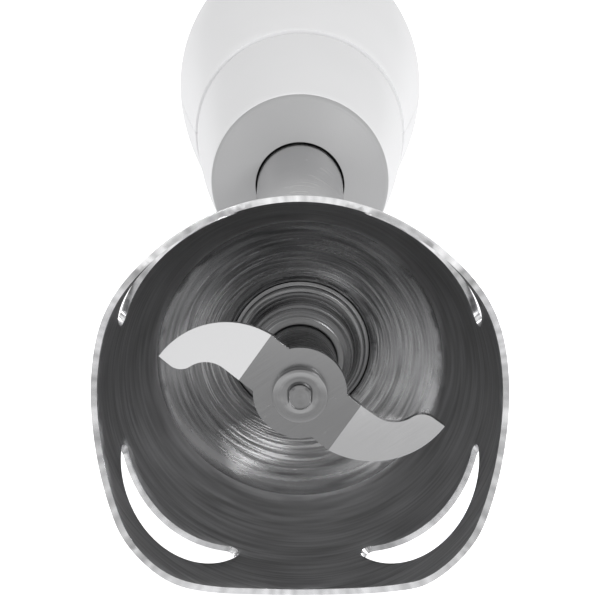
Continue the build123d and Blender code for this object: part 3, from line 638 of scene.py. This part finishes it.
# The blade's long direction, and how far from the axis its folds are.
BLADE_AZIMUTH = math.radians(145.2)
BLADE_FOLD = 9.33 * MM
BRIGHT_EDGE = 1
PLATE = 2


def finish_blade():
    """The blade: ground wings, a plain blanked plate between the folds painted darker as shade, and edges
    painted bright as highlights.
    """
    obj = merged_copy("blade", "blade_finished")
    # The plate is painted darker as shade, and the edges painted bright as highlights.
    obj.data.materials.append(MATERIALS["polished_edge_painted_glint"])
    obj.data.materials.append(MATERIALS["plate_steel_painted_shade"])
    along = Vector((math.cos(BLADE_AZIMUTH), 0.0, math.sin(BLADE_AZIMUTH)))
    for face in obj.data.polygons:
        centre = face.center - Vector((0.0, 0.0, AXIS_HEIGHT))
        if abs(centre.dot(along)) < BLADE_FOLD:
            face.material_index = PLATE
    round_edges(obj, 0.12, 12.0, 2.0, segments=1, finish=BRIGHT_EDGE)
    stands_for(obj, "blade")


finish_blade()
# Each piece's edge width in millimetres, the least turn in degrees that is rounded, and another finish.
SOFTENED = {
    "front_shell": (0.08, 60.0),
    "rear_shell": (0.08, 60.0),
    # The nose sleeve takes the white moulding painted darker as shade.
    "nose_sleeve": (0.15, 28.0, "sleeve_plastic_painted_shade"),
    "blade_collar": (0.1, 32.0, "faced_steel_painted_shade"),
    "top_cap": (0.2, 40.0),
}
for node_name, softening in SOFTENED.items():
    stands_for(softened(node_name, *softening), node_name)
# The drive shaft takes the faced steel, whose dark tone is painted shade.
NODES["drive_shaft"].data.materials[0] = MATERIALS["faced_steel_painted_shade"]

# ---------------------------------------------------------------- repeated details, made by geometry nodes


def new_geometry_tree(name, inputs):
    """A geometry tree with named inputs, and its two end nodes."""
    tree = bpy.data.node_groups.new(name, "GeometryNodeTree")
    tree.interface.new_socket("Geometry", in_out="INPUT", socket_type="NodeSocketGeometry")
    for label, kind, value in inputs:
        made = tree.interface.new_socket(label, in_out="INPUT", socket_type=kind)
        if value is not None:
            made.default_value = value
    tree.interface.new_socket("Geometry", in_out="OUTPUT", socket_type="NodeSocketGeometry")
    return tree, tree.nodes.new("NodeGroupInput"), tree.nodes.new("NodeGroupOutput")


def end_geometry_tree(tree, given, result, geometry):
    """Ends a tree: real geometry in its place, smooth, with its finish."""
    whole = add_node(tree, "GeometryNodeRealizeInstances", {0: geometry})
    placing = {"Rotation": given.outputs["Turn"], "Translation": given.outputs["Place"]}
    placed = add_node(tree, "GeometryNodeTransform", {"Geometry": whole.outputs[0], **placing})
    smooth = add_node(tree, "GeometryNodeSetShadeSmooth", {0: placed.outputs[0]})
    finish = given.outputs["Finish"]
    dressed = add_node(tree, "GeometryNodeSetMaterial", {0: smooth.outputs[0], "Material": finish})
    tree.links.new(dressed.outputs[0], result.inputs[0])


COUNT = "NodeSocketInt"
PLACING = [
    ("Turn", "NodeSocketRotation", None), ("Place", VECTOR, None), ("Finish", "NodeSocketMaterial", None),
]


def make_dots_on_arc():
    """Low round dots spaced along an arc."""
    tree, given, result = new_geometry_tree(
        "dots_on_arc",
        [
            ("Count", COUNT, 3), ("Arc radius", FLOAT, 0.01), ("Start", FLOAT, 0.0), ("Sweep", FLOAT, 1.0),
            ("Dot radius", FLOAT, 0.001), ("Dot height", FLOAT, 0.0005), *PLACING,
        ],
    )
    arc = add_node(
        tree,
        "GeometryNodeCurveArc",
        {
            "Resolution": given.outputs["Count"], "Radius": given.outputs["Arc radius"],
            "Start Angle": given.outputs["Start"], "Sweep Angle": given.outputs["Sweep"],
        },
    )
    points = add_node(tree, "GeometryNodeCurveToPoints", {0: arc.outputs[0]}, mode="EVALUATED")
    dot = add_node(tree, "GeometryNodeMeshUVSphere", {"Segments": 20, "Rings": 12, "Radius": 1.0})
    size = add_node(
        tree,
        "ShaderNodeCombineXYZ",
        {0: given.outputs["Dot radius"], 1: given.outputs["Dot radius"], 2: given.outputs["Dot height"]},
    )
    spread_dots = add_node(
        tree,
        "GeometryNodeInstanceOnPoints",
        {"Points": points.outputs[0], "Instance": dot.outputs[0], "Scale": size.outputs[0]},
    )
    end_geometry_tree(tree, given, result, spread_dots.outputs[0])
    return tree


def make_ribs_in_row():
    """Rounded grip ribs, side by side."""
    tree, given, result = new_geometry_tree(
        "ribs_in_row",
        [
            ("Count", COUNT, 3), ("Pitch", VECTOR, (0.0, 0.002, 0.0)),
            ("Rib size", VECTOR, (0.004, 0.0006, 0.0005)), *PLACING,
        ],
    )
    line = add_node(
        tree, "GeometryNodeMeshLine", {"Count": given.outputs["Count"], "Offset": given.outputs["Pitch"]}
    )
    rib = add_node(tree, "GeometryNodeMeshUVSphere", {"Segments": 24, "Rings": 12, "Radius": 1.0})
    row = add_node(
        tree,
        "GeometryNodeInstanceOnPoints",
        {"Points": line.outputs[0], "Instance": rib.outputs[0], "Scale": given.outputs["Rib size"]},
    )
    end_geometry_tree(tree, given, result, row.outputs[0])
    return tree


def make_rings_in_row():
    """Round ribs that ring a rubber gland."""
    tree, given, result = new_geometry_tree(
        "rings_in_row",
        [
            ("Count", COUNT, 3), ("Pitch", VECTOR, (0.0, 0.0, 0.001)), ("Ring radius", FLOAT, 0.005),
            ("Bead radius", FLOAT, 0.0004), *PLACING,
        ],
    )
    circle = add_node(
        tree, "GeometryNodeCurvePrimitiveCircle", {"Resolution": 72, "Radius": given.outputs["Ring radius"]}
    )
    bead = add_node(
        tree, "GeometryNodeCurvePrimitiveCircle", {"Resolution": 10, "Radius": given.outputs["Bead radius"]}
    )
    ring = add_node(
        tree, "GeometryNodeCurveToMesh", {"Curve": circle.outputs[0], "Profile Curve": bead.outputs[0]}
    )
    line = add_node(
        tree, "GeometryNodeMeshLine", {"Count": given.outputs["Count"], "Offset": given.outputs["Pitch"]}
    )
    row = add_node(
        tree, "GeometryNodeInstanceOnPoints", {"Points": line.outputs[0], "Instance": ring.outputs[0]}
    )
    end_geometry_tree(tree, given, result, row.outputs[0])
    return tree


DOTS_ON_ARC = make_dots_on_arc()
RIBS_IN_ROW = make_ribs_in_row()
RINGS_IN_ROW = make_rings_in_row()


def grow(name, tree, values, body, slot_name):
    """Runs a geometry tree with its values, keeps the result as a plain mesh, and lets it ride on a body."""
    obj = bpy.data.objects.new(name, bpy.data.meshes.new(name))
    bpy.context.scene.collection.objects.link(obj)
    modifier = obj.modifiers.new("details", "NODES")
    modifier.node_group = tree
    values = {**values, "Finish": MATERIALS[slot_name]}
    for item in tree.interface.items_tree:
        if item.in_out == "INPUT" and item.name in values:
            modifier[item.identifier] = values[item.name]
    apply_modifiers(obj)
    obj.data.name = name
    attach(obj, body)


# Half a rib's length, width and height, the distance between ribs, how deep they sink into the rubber,
# and how much the button's skin falls with each step towards the cap.
RIB_SIZE = (4.2 * MM, 0.5 * MM, 0.6 * MM)
RIB_PITCH = 2.4 * MM
RIB_SINK = 0.35 * MM
RIB_FALL = 0.057


def button_ribs(node, name, body, count):
    """Grip ribs across a rubber button."""
    low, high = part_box(node)
    first = (low.y + high.y) / 2 - RIB_PITCH * (count - 1) / 2
    values = {
        "Count": count,
        "Pitch": (0.0, RIB_PITCH, -RIB_FALL * RIB_PITCH),
        "Rib size": RIB_SIZE,
        "Place": (0.0, first, high.z - RIB_SINK - RIB_FALL * (first - low.y)),
    }
    grow(name, RIBS_IN_ROW, values, body, "grey_rubber")


DIAL_CENTRE = (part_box("speed_dial")[0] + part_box("speed_dial")[1]) / 2
CAP_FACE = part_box("top_cap")[1].y
FACING_BACK = (math.radians(-90), 0.0, 0.0)
DOT_CIRCLE = 12.6 * MM
DOT_SWEEP = math.radians(30)
DOT_HEIGHT = 0.3 * MM
LOW_END = math.radians(197)
HIGH_END = math.radians(313)


def scale_dots(name, start, dot_radius):
    """Raised dots on the cap beside the dial, for its low or its high end."""
    values = {
        "Count": 3,
        "Arc radius": DOT_CIRCLE,
        "Start": start,
        "Sweep": DOT_SWEEP,
        "Dot radius": dot_radius,
        "Dot height": DOT_HEIGHT,
        "Turn": FACING_BACK,
        "Place": (DIAL_CENTRE.x, CAP_FACE, DIAL_CENTRE.z),
    }
    grow(name, DOTS_ON_ARC, values, "handle", "grey_plastic")


GLAND_PITCH = 1.05 * MM
GLAND_RADIUS = 5.55 * MM
GLAND_BEAD = 0.32 * MM
GLAND_START = 2.1 * MM


def gland_rings():
    """Ribs round the rubber cord gland."""
    low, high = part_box("cord_gland")
    values = {
        "Count": 4,
        "Pitch": (0.0, 0.0, GLAND_PITCH),
        "Ring radius": GLAND_RADIUS,
        "Bead radius": GLAND_BEAD,
        "Turn": FACING_BACK,
        "Place": ((low.x + high.x) / 2, CAP_FACE + GLAND_START, (low.z + high.z) / 2),
    }
    grow("gland_ribs", RINGS_IN_ROW, values, "handle", "grey_rubber")


button_ribs("power_button", "power_grip", "power_key", 4)
button_ribs("turbo_button", "turbo_grip", "turbo_key", 3)
scale_dots("low_speed_dots", LOW_END, 0.45 * MM)
scale_dots("high_speed_dots", HIGH_END, 0.8 * MM)
gland_rings()

# ---------------------------------------------------------------- studio

FLOOR_HALF = 6.0
# The floor's own glow, how much more of it is seen directly, and the light of the room.
FLOOR_GLOW = 0.3
SEEN_GLOW = 0.6
ROOM_LIGHT = 0.76
# Where along Y the painted shade that metal mirrors in the floor starts, is full, and turns to a painted
# bright glow again.
SHADE_START = -0.19
SHADE_FULL = -0.25
SHADE_TURN = -0.325
SHADE_END = -0.35
# How strongly the painted reflection glows in its shaded band, and beyond it.
MIRRORED_NEAR = 0.66
MIRRORED_FAR = 1.2


def make_floor():
    """A plain pale floor, with a painted shade and glow that only metal's reflections see."""
    mesh = bpy.data.meshes.new("studio_floor")
    half = FLOOR_HALF
    corners = [(-half, -half, 0), (half, -half, 0), (half, half, 0), (-half, half, 0)]
    mesh.from_pydata(corners, [], [(0, 1, 2, 3)])
    floor = bpy.data.objects.new("studio_floor", mesh)
    bpy.context.scene.collection.objects.link(floor)
    material, tree, shader, place = start_material("pale_paper_with_painted_reflection")
    skin = use_group(tree, FINE_GRAIN, {"Place": place, "Grains per metre": 700.0, "Clouds per metre": 2.0})
    tint(tree, shader, skin.outputs["Clouds"], grey(0.9), grey(0.92))
    tree.links.new(spread(tree, skin.outputs["Grain"], 0.85, 0.95), shader.inputs["Roughness"])
    shader.inputs["Specular IOR Level"].default_value = 0.1
    shader.inputs["Emission Color"].default_value = (1.0, 1.0, 1.0, 1.0)
    path = add_node(tree, "ShaderNodeLightPath")
    glow = spread(tree, path.outputs["Is Camera Ray"], FLOOR_GLOW, FLOOR_GLOW + SEEN_GLOW)
    tree.links.new(glow, shader.inputs["Emission Strength"])
    # Painted reflection: glossy rays see the floor close in front of the bell's mouth as a dim glow, a
    # painted shade, and further out as a brighter painted glow.
    depth = add_node(tree, "ShaderNodeSeparateXYZ", {0: place}).outputs[1]
    near = spread(tree, depth, 0.0, 1.0, SHADE_START, SHADE_FULL)
    far = spread(tree, depth, MIRRORED_FAR, MIRRORED_NEAR, SHADE_END, SHADE_TURN)
    painted_reflection = add_node(tree, "ShaderNodeEmission", {"Strength": far})
    both = calculate(tree, "MULTIPLY", path.outputs["Is Glossy Ray"], near)
    mix = add_node(tree, "ShaderNodeMixShader", {0: both, 1: shader.outputs[0], 2: painted_reflection.outputs[0]})
    tree.links.new(mix.outputs[0], tree.nodes["Material Output"].inputs[0])
    mesh.materials.append(material)


# Each light's place, its width and height, and its power in watts.
LIGHTS = {
    "right_softbox": ((0.56, -0.85, 0.5), (0.34, 0.3), 3.8),
    "left_softbox": ((-0.85, -0.75, 0.4), (0.3, 0.3), 1.8),
    "left_panel": ((-0.62, -1.2, 0.14), (0.4, 0.24), 0.15),
}
SOFTBOX_TARGET = (0.0, -0.15, 0.03)
PANEL_TARGET = (0.0, -0.19, 0.04)


def make_light(name, target):
    """A soft rectangular light that faces a point."""
    place, size, power = LIGHTS[name]
    data = bpy.data.lights.new(name, "AREA")
    data.shape = "RECTANGLE"
    data.size, data.size_y = size
    data.energy = power
    lamp = bpy.data.objects.new(name, data)
    lamp.location = place
    lamp.visible_camera = False
    lamp.rotation_euler = (Vector(target) - Vector(place)).to_track_quat("-Z", "Y").to_euler()
    bpy.context.scene.collection.objects.link(lamp)


def make_world():
    """A pale room, a little brighter overhead."""
    world = bpy.data.worlds.new("pale_room")
    world.use_nodes = True
    tree = world.node_tree
    tree.nodes.clear()
    direction = add_node(tree, "ShaderNodeTexCoord").outputs["Generated"]
    part = add_node(tree, "ShaderNodeSeparateXYZ", {0: direction})
    shade = spread(tree, part.outputs[2], 0.86, 1.0, 0.0, 0.9)
    background = add_node(tree, "ShaderNodeBackground", {"Strength": ROOM_LIGHT})
    colour = add_node(tree, "ShaderNodeCombineColor", {0: shade, 1: shade, 2: shade})
    tree.links.new(colour.outputs[0], background.inputs["Color"])
    output = add_node(tree, "ShaderNodeOutputWorld")
    tree.links.new(background.outputs[0], output.inputs[0])
    bpy.context.scene.world = world


def make_studio():
    """The floor, the room and the lights, shown without a film look."""
    make_floor()
    make_world()
    make_light("right_softbox", SOFTBOX_TARGET)
    make_light("left_softbox", SOFTBOX_TARGET)
    make_light("left_panel", PANEL_TARGET)
    view = bpy.context.scene.view_settings
    view.view_transform = "Standard"
    view.look = "None"


make_studio()
